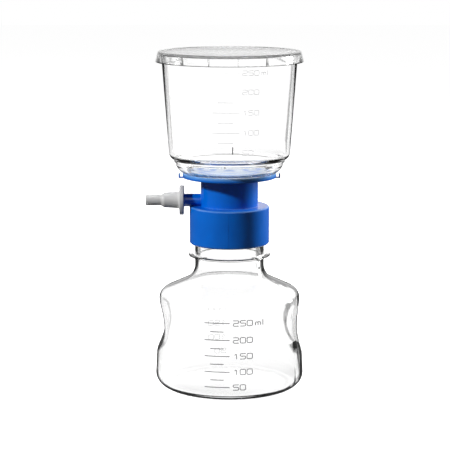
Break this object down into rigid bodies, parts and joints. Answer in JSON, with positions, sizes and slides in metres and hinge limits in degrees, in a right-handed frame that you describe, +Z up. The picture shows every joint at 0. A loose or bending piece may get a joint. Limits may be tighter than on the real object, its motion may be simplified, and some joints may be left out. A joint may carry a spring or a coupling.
{
  "type": "vacuum filtration unit",
  "caption": "Clear lidded funnel chamber over a membrane on a blue collar with a side arm and hose adapter, screwed onto a clear waisted receiver bottle.",
  "frame": {"origin": "on the upright axis of bottle, collar and chamber, at the plane that the bottle's foot ring stands on", "axes": "+Z up along the unit's axis, towards the lid; the side arm and hose adapter point along -X; +Y is the back, away from the printed graduations"},
  "size_m": [0.0958, 0.0902, 0.2042],
  "materials": {
    "clear_bottle": "clear polished",
    "seal_rubber": "satin",
    "blue_plastic": "semi-gloss moulded",
    "plug_fibre": "fibrous",
    "grey_plastic": "satin moulded",
    "membrane_white": "matt",
    "clear_chamber": "clear polished",
    "clear_lid": "clear polished"
  },
  "bodies": {
    "bottle": {"receiver_bottle": "clear_bottle"},
    "seal": {"neck_seal": "seal_rubber"},
    "head": {"filter_body": "blue_plastic", "port_plug": "plug_fibre", "membrane": "membrane_white", "upper_chamber": "clear_chamber"},
    "adapter": {"hose_adapter": "grey_plastic"},
    "cover": {"lid": "clear_lid"}
  },
  "joints": [
    {"name": "head_rise", "type": "slide", "parent": "bottle", "child": "seal", "axis": [0, 0, 1], "range_m": [0, 0.00675]},
    {"name": "head_unscrew", "type": "hinge", "parent": "seal", "child": "head", "pos_m": [0, 0, 0.1], "axis": [0, 0, 1], "range_deg": [0, 540]},
    {"name": "adapter_pull", "type": "slide", "parent": "head", "child": "adapter", "axis": [-1, 0, 0], "range_m": [0, 0.012]},
    {"name": "lid_lift", "type": "slide", "parent": "head", "child": "cover", "axis": [0, 0, 1], "range_m": [0, 0.025]}
  ],
  "couplings": [
    {"joint": "head_rise", "follows": "head_unscrew", "m_per_rad": 0.000716}
  ]
}
